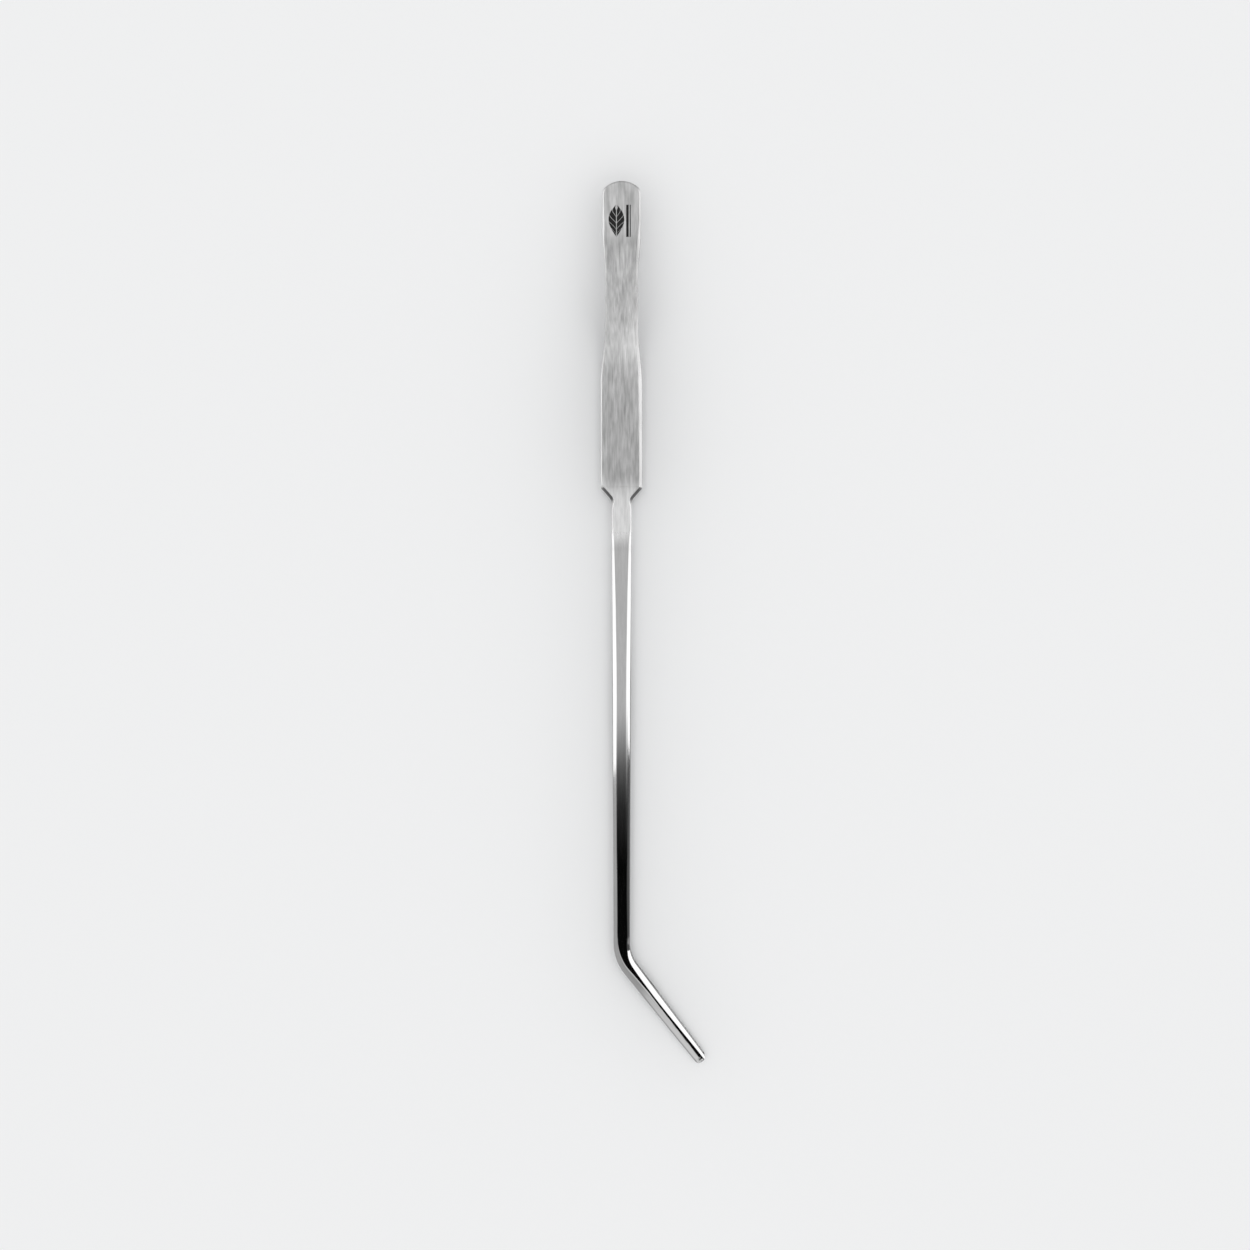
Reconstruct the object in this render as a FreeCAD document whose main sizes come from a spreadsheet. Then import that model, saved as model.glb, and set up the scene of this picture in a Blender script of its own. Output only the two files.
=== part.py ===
"""Long aquascaping tweezers with sideways-bent, serrated tips.

Two stainless arms are spot-welded together at the heel and bow apart into a
flat spring leaf, a broad grip, a narrow stem and a fine bent tip. Pressing the
grips brings the flat ground jaws together.

Frame, in millimetres: the tool lies on its rear arm. +Y runs along the stems
towards the heel, the tips bend towards +X, and +Z is up, across the opening.
The origin is on the outer face of the rear grip, which is the face it rests on.
"""
import FreeCAD, Part
import math
import os

import Sketcher

SIZES = {
    # outline of an arm, seen square on; places are measured from the heel end
    "rest_from_heel": 77.0,         # the origin, in the middle of the grip
    "heel_width": 11.4,
    "heel_end_radius": 7.35,        # the blunt curve across the heel end
    "heel_corner_radius": 2.6,
    "heel_taper_from_heel": 17.0,   # where the heel starts to narrow to the waist
    "waist_from_heel": 27.0,
    "waist_width": 9.8,
    "waist_end_from_heel": 46.5,    # where the waist starts to widen to the grip
    "grip_from_heel": 58.0,
    "grip_width": 12.3,
    "grip_end_from_heel": 91.6,
    "side_blend_radius": 45.0,      # the soft corners between heel, waist and grip
    "shoulder_run": 3.6,            # length of the sloped shoulder below the grip
    "shoulder_corner_radius": 1.0,
    "stem_root_radius": 3.0,        # the hollow corner between shoulder and stem
    "stem_width": 5.9,              # at the shoulder
    "stem_end_width": 5.0,          # at the bend
    "bend_from_heel": 231.0,        # where the two centre lines would cross
    "bend_angle": 37.9,
    "bend_radius": 12.5,            # of the centre line
    "tip_reach": 39.0,              # from that crossing to the end of the tip
    "tip_neck_reach": 10.0,         # the last stretch, which narrows faster
    "tip_neck_width": 3.9,
    "tip_width": 3.35,
    "tip_corner_radius": 1.5,
    # thickness and opening, seen from the side
    "leaf_thickness": 1.2,
    "heel_bow_from_heel": 24.65,    # where the heel line meets the flank line
    "grip_bow_from_heel": 52.45,    # where the flank line meets the grip line
    "bow_radius": 44.5,             # inner radius of both bows
    "arm_rise": 8.5,                # from the mid-plane to the inside of the grip
    "root_from_heel": 88.0,         # where the arm starts to thicken to the stem
    "root_end_from_heel": 99.0,
    "root_blend_radius": 25.0,
    "stem_thickness": 2.0,
    "tip_thickness": 1.1,
    "jaw_clearance": 0.04,          # left between the jaws when they are closed
    "jaw_blend_radius": 60.0,
    # the line that the spring leaf bends about
    "knuckle_radius": 0.9,
    "knuckle_clearance": 0.03,
    # rounded outer edges
    "handle_edge_radius": 0.6,
    "stem_edge_radius": 1.6,
    "tip_edge_radius": 0.75,
    # grooves across each jaw
    "tooth_pitch": 1.0,
    "tooth_width": 0.7,
    "tooth_depth": 0.25,
    "tooth_count": 22,
    "tooth_end_margin": 1.4,        # from the end of the tip to the first groove
    # nuggets that weld the heels together
    "weld_diameter": 3.2,
    "weld_thickness": 0.8,
    "weld_from_heel": 6.0,
    "weld_pitch": 7.0,
}

# Expressions that several sketches share, worked out from the sheet's sizes.
FLANK_RUN = "(Sizes.grip_bow_from_heel - Sizes.heel_bow_from_heel)"
FLANK_ANGLE = f"atan(Sizes.arm_rise / {FLANK_RUN})"
BOW_SHIFT = f"(Sizes.leaf_thickness * tan({FLANK_ANGLE} / 2))"
OUTER_RISE = "(Sizes.arm_rise + Sizes.leaf_thickness)"
HALF_LEAF = "(Sizes.leaf_thickness / 2)"
KNUCKLE_FROM_HEEL = (
    f"((Sizes.heel_bow_from_heel + Sizes.grip_bow_from_heel) / 2"
    f" - {HALF_LEAF} * sin({FLANK_ANGLE}))"
)
KNUCKLE_RISE = f"(Sizes.arm_rise / 2 + {HALF_LEAF} * cos({FLANK_ANGLE}))"
TIP_FROM_HEEL = "(Sizes.bend_from_heel + Sizes.tip_reach * cos(Sizes.bend_angle))"

# The jaws close about the knuckle until their inner faces lie flat on the mid-plane.
JAW_RUN = f"({TIP_FROM_HEEL} - {KNUCKLE_FROM_HEEL})"
JAW_DROP = f"({OUTER_RISE} - Sizes.tip_thickness - {KNUCKLE_RISE})"
CLOSING_ANGLE = (
    f"(atan({JAW_DROP} / {JAW_RUN})"
    f" + asin(({KNUCKLE_RISE} - Sizes.jaw_clearance / 2)"
    f" / sqrt({JAW_RUN}^2 + {JAW_DROP}^2)))"
)
STEM_INNER_RISE = f"({OUTER_RISE} - Sizes.stem_thickness)"
JAW_FROM_HEEL = (
    f"({TIP_FROM_HEEL}"
    f" - (Sizes.stem_thickness - Sizes.tip_thickness) / tan({CLOSING_ANGLE}))"
)

SIDES = {"front": 1, "rear": -1}    # the front arm is the upper one

# What the sketcher calls its own axes, the origin and the two ends of a line or an arc.
H_AXIS = -1
V_AXIS = -2
ORIGIN = (-1, 1)
START = 1
END = 2

# The most that a rounding may take, as a share of the size it rounds.
TIP_CORNER_SHARE = 0.45
STEM_ROUNDING_SHARE = 0.4
TIP_ROUNDING_SHARE = 0.7

WELD_COUNT = 2
CUTTER_WIDTHS = 3       # length of a groove cutter, in widths of the tip's neck
SAME_PLACE = 1e-6       # mm, for telling edges apart
UPRIGHT = 0.01          # the most that an upright face's normal leans up or down
OUTWARD = 0.5           # the least that an outer face's normal leans out


def make_sheet(doc):
    """The driving dimensions, one named cell each."""
    sheet = doc.addObject("Spreadsheet::Sheet", "Sizes")
    for row, (alias, value) in enumerate(SIZES.items(), start=1):
        sheet.set(f"A{row}", alias)
        sheet.set(f"B{row}", str(value))
        sheet.setAlias(f"B{row}", alias)
    doc.recompute()
    return sheet


def number(obj, expression):
    """The value of an expression, as a plain number."""
    value = obj.evalExpression(str(expression))
    return float(getattr(value, "Value", value))


def along(from_heel):
    """The Y of a place given by its distance from the heel end."""
    return f"(Sizes.rest_from_heel - {from_heel})"


def new_sketch(body, role, name):
    """A sketch on one of the body's own origin planes."""
    plane = next(p for p in body.Origin.OriginFeatures if p.Role == role)
    sketch = body.newObject("Sketcher::SketchObject", name)
    sketch.AttachmentSupport = (plane, [""])
    sketch.MapMode = "FlatFace"
    return sketch


def bind(sketch, kind, *where, to):
    """Adds one driving constraint and ties it to an expression; zero means on the axis."""
    if kind in ("DistanceX", "DistanceY") and to == "0":
        axis = V_AXIS if kind == "DistanceX" else H_AXIS
        sketch.addConstraint(Sketcher.Constraint("PointOnObject", where[2], where[3], axis))
        return
    index = sketch.addConstraint(Sketcher.Constraint(kind, *where, number(sketch, to)))
    sketch.setExpression(f"Constraints[{index}]", to)


def draw_outline(sketch, corners):
    """Draws a closed loop round its corners, each given by three expressions.

    They are its two coordinates and the radius that rounds it, "0" for a sharp
    one. A fourth entry bows the line to the next corner: its radius, and on
    which side of that line its centre lies, 1 for the left and -1 for the right.
    """
    points = [FreeCAD.Vector(number(sketch, c[0]), number(sketch, c[1]), 0) for c in corners]
    count = len(points)
    rounded = [c[2] != "0" for c in corners]
    starts = list(points)
    ends = list(points)
    arcs = {}
    for i in range(count):
        if not rounded[i]:
            continue
        radius = number(sketch, corners[i][2])
        back = (points[i - 1] - points[i]).normalize()
        ahead = (points[(i + 1) % count] - points[i]).normalize()
        half_opening = back.getAngle(ahead) / 2
        reach = radius / math.tan(half_opening)
        middle = points[i] + (back + ahead).normalize() * (radius / math.sin(half_opening))
        ends[i] = points[i] + back * reach
        starts[i] = points[i] + ahead * reach
        turns_left = back.cross(ahead).z < 0
        first, last = (ends[i], starts[i]) if turns_left else (starts[i], ends[i])
        circle = Part.Circle(middle, FreeCAD.Vector(0, 0, 1), radius)
        arc = Part.ArcOfCircle(circle, circle.parameter(first), circle.parameter(last))
        arcs[i] = (sketch.addGeometry(arc, False), turns_left)

    lines = []
    for i in range(count):
        first, last = starts[i], ends[(i + 1) % count]
        if len(corners[i]) > 3:
            radius, side = number(sketch, corners[i][3]), corners[i][4]
            chord = last - first
            inward = FreeCAD.Vector(-chord.y, chord.x, 0).normalize() * side
            depth = math.sqrt(radius ** 2 - (chord.Length / 2) ** 2)
            middle = (first + last) / 2 + inward * depth
            circle = Part.Circle(middle, FreeCAD.Vector(0, 0, 1), radius)
            ends_in_order = (first, last) if side > 0 else (last, first)
            parameters = [circle.parameter(p) for p in ends_in_order]
            bow = Part.ArcOfCircle(circle, *parameters)
            lines.append((sketch.addGeometry(bow, False), side < 0))
        else:
            lines.append((sketch.addGeometry(Part.LineSegment(first, last), False), False))

    def start_of(i):
        line, is_reversed = lines[i]
        return (line, END if is_reversed else START)

    def end_of(i):
        line, is_reversed = lines[i]
        return (line, START if is_reversed else END)

    for i in range(count):
        before = end_of(i - 1)
        after = start_of(i)
        if rounded[i]:
            arc, turns_left = arcs[i]
            sketch.addConstraint([
                Sketcher.Constraint("Tangent", *before, arc, START if turns_left else END),
                Sketcher.Constraint("Tangent", arc, END if turns_left else START, *after),
            ])
            bind(sketch, "Radius", arc, to=corners[i][2])
            corner = (sketch.addGeometry(Part.Point(points[i]), True), START)
            sketch.addConstraint([
                Sketcher.Constraint("PointOnObject", *corner, before[0]),
                Sketcher.Constraint("PointOnObject", *corner, after[0]),
            ])
        else:
            sketch.addConstraint(Sketcher.Constraint("Coincident", *before, *after))
            corner = after
        bind(sketch, "DistanceX", *ORIGIN, *corner, to=corners[i][0])
        bind(sketch, "DistanceY", *ORIGIN, *corner, to=corners[i][1])
        if len(corners[i]) > 3:
            bind(sketch, "Radius", lines[i][0], to=corners[i][3])


def pad_side_profile(body, name, profile):
    """Pads a profile seen from the side right across the arm, bent tip included."""
    sketch = new_sketch(body, "YZ_Plane", f"{name}_side_profile")
    draw_outline(sketch, profile)
    pad = body.newObject("PartDesign::Pad", f"{name}_strip")
    pad.Profile = sketch
    pad.SideType = "Two sides"
    pad.setExpression("Length", "Sizes.tip_reach")
    pad.setExpression("Length2", "Sizes.grip_width")
    return pad


def cut_to_outline(body, name, outline):
    """Cuts away all of the strip outside an outline seen square on."""
    sketch = new_sketch(body, "XY_Plane", f"{name}_outline")
    reach = "(Sizes.tip_reach + Sizes.grip_width)"
    heel = f"({along('0')} + Sizes.grip_width)"
    tip = f"({along(TIP_FROM_HEEL)} - Sizes.grip_width)"
    draw_outline(sketch, [
        (f"-{reach}", tip, "0"), (reach, tip, "0"), (reach, heel, "0"), (f"-{reach}", heel, "0"),
    ])
    draw_outline(sketch, outline)
    pocket = body.newObject("PartDesign::Pocket", f"{name}_blanked")
    pocket.Profile = sketch
    pocket.SideType = "Symmetric"
    pocket.Type = "ThroughAll"
    return pocket


def rise(side, expression):
    """The Z of a place given by its distance from the mid-plane, on that arm's side."""
    sign = "+" if side > 0 else "-"
    return f"({OUTER_RISE} {sign} {expression})"


def knuckle_point(side, radius, out):
    """Where the knuckle's curve meets the leaf's face: out is 1 outside, -1 inside."""
    reach = f"sqrt({radius}^2 - {HALF_LEAF}^2)"
    from_heel = (
        f"({KNUCKLE_FROM_HEEL} - {reach} * cos({FLANK_ANGLE})"
        f" - {out} * {HALF_LEAF} * sin({FLANK_ANGLE}))"
    )
    from_middle = (
        f"({KNUCKLE_RISE} - {reach} * sin({FLANK_ANGLE})"
        f" + {out} * {HALF_LEAF} * cos({FLANK_ANGLE}))"
    )
    return along(from_heel), rise(side, from_middle)


def heel_profile(side):
    """The flat heel and the first bow, up to the hollow of the knuckle."""
    radius = "(Sizes.knuckle_radius + Sizes.knuckle_clearance)"
    outer_bow = "(Sizes.bow_radius - Sizes.leaf_thickness)"
    inner = knuckle_point(side, radius, -1)
    outer = knuckle_point(side, radius, 1)
    return [
        (along("0"), f"{OUTER_RISE}", "0"),
        (along("Sizes.heel_bow_from_heel"), f"{OUTER_RISE}", "Sizes.bow_radius"),
        (*inner, "0", radius, side),
        (*outer, "0"),
        (along(f"(Sizes.heel_bow_from_heel - {BOW_SHIFT})"),
         rise(side, "Sizes.leaf_thickness"), outer_bow),
        (along("0"), rise(side, "Sizes.leaf_thickness"), "0"),
    ]


def arm_profile(side):
    """The flank, second bow, grip, thick stem and wedge-shaped jaw, from the knuckle on."""
    inner = knuckle_point(side, "Sizes.knuckle_radius", -1)
    outer = knuckle_point(side, "Sizes.knuckle_radius", 1)
    past_tip = f"({TIP_FROM_HEEL} + Sizes.tip_width)"
    past_tip_rise = (
        f"({OUTER_RISE} - Sizes.tip_thickness + Sizes.tip_width * tan({CLOSING_ANGLE}))"
    )
    outer_bow = "(Sizes.bow_radius + Sizes.leaf_thickness)"
    return [
        (*inner, "0"),
        (along("Sizes.grip_bow_from_heel"), rise(side, "Sizes.arm_rise"), "Sizes.bow_radius"),
        (along("Sizes.root_from_heel"), rise(side, "Sizes.arm_rise"), "Sizes.root_blend_radius"),
        (along("Sizes.root_end_from_heel"), rise(side, STEM_INNER_RISE), "Sizes.root_blend_radius"),
        (along(JAW_FROM_HEEL), rise(side, STEM_INNER_RISE), "Sizes.jaw_blend_radius"),
        (along(past_tip), rise(side, past_tip_rise), "0"),
        (along(past_tip), rise(side, OUTER_RISE), "0"),
        (along(f"(Sizes.grip_bow_from_heel - {BOW_SHIFT})"), rise(side, OUTER_RISE), outer_bow),
        (*outer, "0", "Sizes.knuckle_radius", side),
    ]


def heel_outline():
    """The blunt end, the heel's sides and the start of the waist."""
    heel = "(Sizes.heel_width / 2)"
    waist = "(Sizes.waist_width / 2)"
    corner = along(
        f"(Sizes.heel_end_radius - sqrt(Sizes.heel_end_radius^2 - {heel}^2))"
    )
    taper = along("Sizes.heel_taper_from_heel")
    narrow = along("Sizes.waist_from_heel")
    past_split = along("Sizes.waist_end_from_heel")
    blend = "Sizes.side_blend_radius"
    return [
        (f"-{waist}", past_split, "0"),
        (waist, past_split, "0"),
        (waist, narrow, blend),
        (heel, taper, blend),
        (heel, corner, "0", "Sizes.heel_end_radius", 1),
        (f"-{heel}", corner, "0"),
        (f"-{heel}", taper, blend),
        (f"-{waist}", narrow, blend),
    ]


def arm_outline():
    """The waist, grip, shoulders, stem and bent tip."""
    waist = "(Sizes.waist_width / 2)"
    grip = "(Sizes.grip_width / 2)"
    stem = "(Sizes.stem_width / 2)"
    stem_end = "(Sizes.stem_end_width / 2)"
    before_split = along("Sizes.waist_from_heel")
    waist_end = along("Sizes.waist_end_from_heel")
    grip_start = along("Sizes.grip_from_heel")
    grip_end = along("Sizes.grip_end_from_heel")
    stem_start = along("(Sizes.grip_end_from_heel + Sizes.shoulder_run)")
    bend = along("Sizes.bend_from_heel")
    blend = "Sizes.side_blend_radius"
    tilt = f"({stem_end} * tan(Sizes.bend_angle / 2))"

    def beside_tip(reach, half_width, side, radius):
        """A corner on one side of the bent part, 1 for the inside of the bend."""
        return (
            f"({reach} * sin(Sizes.bend_angle) + {side} * {half_width} * cos(Sizes.bend_angle))",
            f"({bend} - {reach} * cos(Sizes.bend_angle)"
            f" + {side} * {half_width} * sin(Sizes.bend_angle))",
            radius,
        )

    neck = ("(Sizes.tip_reach - Sizes.tip_neck_reach)", "(Sizes.tip_neck_width / 2)")
    end = ("Sizes.tip_reach", "(Sizes.tip_width / 2)")
    tip_corner = f"min(Sizes.tip_corner_radius; {TIP_CORNER_SHARE} * Sizes.tip_width)"
    return [
        (f"-{waist}", before_split, "0"),
        (f"-{waist}", waist_end, blend),
        (f"-{grip}", grip_start, blend),
        (f"-{grip}", grip_end, "Sizes.shoulder_corner_radius"),
        (f"-{stem}", stem_start, "Sizes.stem_root_radius"),
        (f"-{stem_end}", f"({bend} - {tilt})", f"(Sizes.bend_radius + {stem_end})"),
        beside_tip(*neck, -1, "Sizes.side_blend_radius"),
        beside_tip(*end, -1, tip_corner),
        beside_tip(*end, 1, tip_corner),
        beside_tip(*neck, 1, "Sizes.side_blend_radius"),
        (stem_end, f"({bend} + {tilt})", f"(Sizes.bend_radius - {stem_end})"),
        (stem, stem_start, "Sizes.stem_root_radius"),
        (grip, grip_end, "Sizes.shoulder_corner_radius"),
        (grip, grip_start, blend),
        (waist, waist_end, blend),
        (waist, before_split, "0"),
    ]


def face_normal(face):
    """A face's outward normal at the middle of its parameters."""
    first_u, last_u, first_v, last_v = face.ParameterRange
    return face.normalAt((first_u + last_u) / 2, (first_v + last_v) / 2)


def outer_edges(shape, side):
    """The numbered edges between the arm's outer face and its upright sides."""
    upright = [f for f in shape.Faces if abs(face_normal(f).z) < UPRIGHT]
    outer = [f for f in shape.Faces if face_normal(f).z * side > OUTWARD]
    beside = [e for face in upright for e in face.Edges]
    above = [e for face in outer for e in face.Edges]
    return [
        (i, edge) for i, edge in enumerate(shape.Edges, start=1)
        if any(edge.isSame(e) for e in beside) and any(edge.isSame(e) for e in above)
    ]


def edge_radius(sheet, point):
    """Radius of the rounded outer edge: small on the handle, large on the stem, fine at the tip."""
    from_heel = sheet.rest_from_heel - point.y
    stem_start = sheet.grip_end_from_heel + sheet.shoulder_run + sheet.stem_root_radius
    stem_end = sheet.bend_from_heel - sheet.bend_radius / 2
    tip_start = number(sheet, TIP_FROM_HEEL) - sheet.tip_width
    stem_radius = min(sheet.stem_edge_radius, STEM_ROUNDING_SHARE * sheet.stem_end_width)
    tip_radius = min(sheet.tip_edge_radius, TIP_ROUNDING_SHARE * sheet.tip_thickness)
    stations = [
        (stem_start, sheet.handle_edge_radius),
        (stem_end, stem_radius),
        (tip_start, tip_radius),
    ]
    if from_heel <= stations[0][0]:
        return stations[0][1]
    for (start, first), (end, last) in zip(stations, stations[1:]):
        if from_heel <= end:
            share = (from_heel - start) / (end - start)
            return first + (last - first) * share
    return stations[-1][1]


def round_outer_edges(doc, name, blank, side, sheet):
    """Rounds the outer edges, with a radius that changes along the arm."""
    doc.recompute()
    fillet = doc.addObject("Part::Fillet", name)
    fillet.Base = blank
    edges = []
    for index, edge in outer_edges(blank.Shape, side):
        first, last = edge.Vertexes[0].Point, edge.Vertexes[-1].Point
        edges.append((index, edge_radius(sheet, first), edge_radius(sheet, last)))
    fillet.Edges = edges
    return fillet


def make_welds(doc):
    """The nuggets, half in each heel, on the tool's centre line."""
    nuggets = []
    for i in range(WELD_COUNT):
        nugget = doc.addObject("Part::Cylinder", f"weld_nugget_{i + 1}")
        nugget.setExpression("Radius", "Sizes.weld_diameter / 2")
        nugget.setExpression("Height", "Sizes.weld_thickness")
        nugget.setExpression(
            "Placement.Base.y", along(f"(Sizes.weld_from_heel + {i} * Sizes.weld_pitch)"))
        nugget.setExpression("Placement.Base.z", f"{OUTER_RISE} - Sizes.weld_thickness / 2")
        nuggets.append(nugget)
    welds = doc.addObject("Part::Compound", "weld_spots")
    welds.Links = nuggets
    welds.Label = "weld_spots"
    return welds


def make_heel(doc, sheet, name, side, welds):
    """The fixed end of one arm, with a seat for half of each weld nugget."""
    body = doc.addObject("PartDesign::Body", f"{name}_blank")
    pad_side_profile(body, name, heel_profile(side))
    pocket = cut_to_outline(body, name, heel_outline())
    doc.recompute()
    corners = [
        f"Edge{i}" for i, edge in enumerate(pocket.Shape.Edges, start=1)
        if is_heel_corner(edge, sheet)
    ]
    rounding = body.newObject("PartDesign::Fillet", f"{name}_end_corners")
    rounding.Base = (pocket, corners)
    rounding.setExpression("Radius", "Sizes.heel_corner_radius")
    rounded = round_outer_edges(doc, f"{name}_rounded", body, side, sheet)
    heel = doc.addObject("Part::Cut", name)
    heel.Base = rounded
    heel.Tool = welds
    heel.Label = name
    return heel


def is_heel_corner(edge, sheet):
    """Whether an edge stands upright at a corner of the heel end."""
    box = edge.BoundBox
    return (
        box.XLength < SAME_PLACE and box.YLength < SAME_PLACE
        and abs(abs(box.XMin) - sheet.heel_width / 2) < SAME_PLACE
        and sheet.rest_from_heel - box.YMin < sheet.heel_end_radius
    )


def make_teeth(doc, name, side):
    """The row of V-shaped cutters across one jaw, square to the bent tip."""
    body = doc.addObject("PartDesign::Body", f"{name}_teeth")
    sketch = new_sketch(body, "XY_Plane", f"{name}_tooth")
    half = "(Sizes.tooth_width / 2)"
    # the cutter stands a little outside the jaw face, so that it cuts cleanly
    above = "(Sizes.tooth_depth / 2)"
    flare = f"({half} * (1 + {above} / Sizes.tooth_depth))"
    draw_outline(sketch, [
        (f"-{flare}", f"-{above}", "0"), (flare, f"-{above}", "0"), ("0", "Sizes.tooth_depth", "0"),
    ])
    pad = body.newObject("PartDesign::Pad", f"{name}_one_tooth")
    pad.Profile = sketch
    pad.SideType = "Symmetric"
    pad.setExpression("Length", f"{CUTTER_WIDTHS} * Sizes.tip_neck_width")
    row = body.newObject("PartDesign::LinearPattern", f"{name}_tooth_row")
    row.Originals = [pad]
    row.Direction = (sketch, ["H_Axis"])
    row.Mode = "Spacing"
    row.setExpression("Offset", "Sizes.tooth_pitch")
    row.setExpression("Occurrences", "Sizes.tooth_count")
    body.Tip = row
    return body


def jaw_placement(sheet, side):
    """The end of the jaw face: X back along the tip, Y into the metal, Z across the jaw."""
    turn = math.radians(number(sheet, "Sizes.bend_angle"))
    closing = math.radians(number(sheet, CLOSING_ANGLE))
    offset = sheet.tooth_end_margin + (sheet.tooth_pitch / 2 if side < 0 else 0.0)
    reach = sheet.tip_reach - offset
    back = FreeCAD.Vector(-math.sin(turn), math.cos(turn), 0)
    tilt = FreeCAD.Rotation(FreeCAD.Vector(1, 0, 0), -side * math.degrees(closing))
    back = tilt.multVec(back)
    into = tilt.multVec(FreeCAD.Vector(0, 0, side))
    across = back.cross(into)
    y = sheet.rest_from_heel - sheet.bend_from_heel - reach * math.cos(turn)
    tip_y = sheet.rest_from_heel - number(sheet, TIP_FROM_HEEL)
    from_middle = number(sheet, OUTER_RISE) - sheet.tip_thickness - (y - tip_y) * math.tan(closing)
    origin = FreeCAD.Vector(
        reach * math.sin(turn), y, number(sheet, OUTER_RISE) + side * from_middle)
    return FreeCAD.Placement(origin, FreeCAD.Rotation(back, into, across, "XYZ"))


def make_arm(doc, sheet, name, side):
    """The moving part of one arm, from the knuckle to the serrated tip."""
    body = doc.addObject("PartDesign::Body", f"{name}_blank")
    pad_side_profile(body, name, arm_profile(side))
    cut_to_outline(body, name, arm_outline())
    rounded = round_outer_edges(doc, f"{name}_rounded", body, side, sheet)
    teeth = make_teeth(doc, name, side)
    teeth.Placement = jaw_placement(sheet, side)
    arm = doc.addObject("Part::Cut", name)
    arm.Base = rounded
    arm.Tool = teeth
    arm.Label = name
    return arm


def check_document(doc, parts):
    """Stops on a failed object or on a piece without a sound solid."""
    for obj in doc.Objects:
        failed = [state for state in obj.State if state in ("Invalid", "Error")]
        if failed:
            raise RuntimeError(f"{obj.Name} is {failed}")
    for part in parts:
        if part.Shape.isNull() or not part.Shape.isValid() or not part.Shape.Solids:
            raise RuntimeError(f"{part.Label} has no sound solid")


def main():
    doc = FreeCAD.newDocument("aquascaping_tweezers")
    sheet = make_sheet(doc)
    welds = make_welds(doc)
    parts = [welds]
    for name, side in SIDES.items():
        parts.append(make_heel(doc, sheet, f"{name}_heel", side, welds))
        parts.append(make_arm(doc, sheet, f"{name}_arm", side))
    doc.recompute()
    check_document(doc, parts)

    os.makedirs("parts", exist_ok=True)
    for part in parts:
        part.Shape.exportStep(f"parts/{part.Label}.step")
        print(f"{part.Label}: {part.Shape.Volume:.1f} mm3, {len(part.Shape.Solids)} solid(s)")
    print(f"closing angle {number(sheet, CLOSING_ANGLE):.4f} degrees")
    print(f"knuckle at y {number(sheet, along(KNUCKLE_FROM_HEEL)):.4f},"
          f" {number(sheet, KNUCKLE_RISE):.4f} from the mid-plane"
          f" at z {number(sheet, OUTER_RISE):.4f}")


main()
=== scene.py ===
"""Aquascaping tweezers: two ground steel spring arms, the etched heel mark, studio and camera.

Lengths are in millimetres, and are turned to metres where Blender takes them. A place
along an arm is its distance from the heel end, measured along the arm's middle line.
Right and left are as seen from the front with the heel up. A hand is 1 for the right
half of an arm and -1 for the left half.
"""
from collections import namedtuple

import bmesh
import bpy
import numpy as np
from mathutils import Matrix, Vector


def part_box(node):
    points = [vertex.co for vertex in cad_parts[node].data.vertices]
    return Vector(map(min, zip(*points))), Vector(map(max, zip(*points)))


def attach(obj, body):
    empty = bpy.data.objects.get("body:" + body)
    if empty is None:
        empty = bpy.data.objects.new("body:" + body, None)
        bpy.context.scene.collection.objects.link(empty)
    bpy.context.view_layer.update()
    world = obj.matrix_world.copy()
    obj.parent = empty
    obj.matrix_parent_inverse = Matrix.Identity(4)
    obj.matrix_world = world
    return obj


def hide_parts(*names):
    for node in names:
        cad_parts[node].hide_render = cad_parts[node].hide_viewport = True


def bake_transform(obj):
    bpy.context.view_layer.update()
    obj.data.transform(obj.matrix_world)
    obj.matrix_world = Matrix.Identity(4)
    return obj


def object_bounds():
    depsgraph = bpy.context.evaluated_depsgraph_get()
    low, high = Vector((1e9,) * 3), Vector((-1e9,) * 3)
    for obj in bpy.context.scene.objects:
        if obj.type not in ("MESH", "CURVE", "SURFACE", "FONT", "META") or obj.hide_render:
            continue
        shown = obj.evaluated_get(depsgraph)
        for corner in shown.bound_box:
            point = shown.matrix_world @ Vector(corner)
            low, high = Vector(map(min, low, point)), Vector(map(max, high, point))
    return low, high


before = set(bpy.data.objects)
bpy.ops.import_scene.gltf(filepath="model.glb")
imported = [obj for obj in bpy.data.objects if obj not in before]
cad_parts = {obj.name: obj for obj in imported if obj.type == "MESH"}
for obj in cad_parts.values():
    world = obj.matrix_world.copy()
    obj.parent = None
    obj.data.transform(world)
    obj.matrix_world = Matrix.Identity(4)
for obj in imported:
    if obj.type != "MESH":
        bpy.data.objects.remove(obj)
cad_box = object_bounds()

MM = 0.001

# Outline of an arm seen square on.
HEEL_HALF_WIDTH = 5.7
HEEL_END_RADIUS = 7.35
HEEL_CORNER_RADIUS = 2.6
HEEL_END_PARTS = 12
HEEL_CORNER_PARTS = 16
WAIST_HALF_WIDTH = 4.9
GRIP_HALF_WIDTH = 6.15
STEM_HALF_WIDTH = 2.95
BEND_HALF_WIDTH = 2.5
NECK_HALF_WIDTH = 1.95
TIP_HALF_WIDTH = 1.675
HEEL_TAPER = 17.0
WAIST_START = 27.0
WAIST_END = 46.5
GRIP_START = 58.0
GRIP_END = 91.6
STEM_START = 95.2
SIDE_BLEND = 45.0
GRIP_CORNER_RADIUS = 1.0
STEM_CORNER_RADIUS = 3.0
BEND_BLEND = 200.0
NECK_BLEND = 60.0
TIP_CORNER_RADIUS = 1.5

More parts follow.
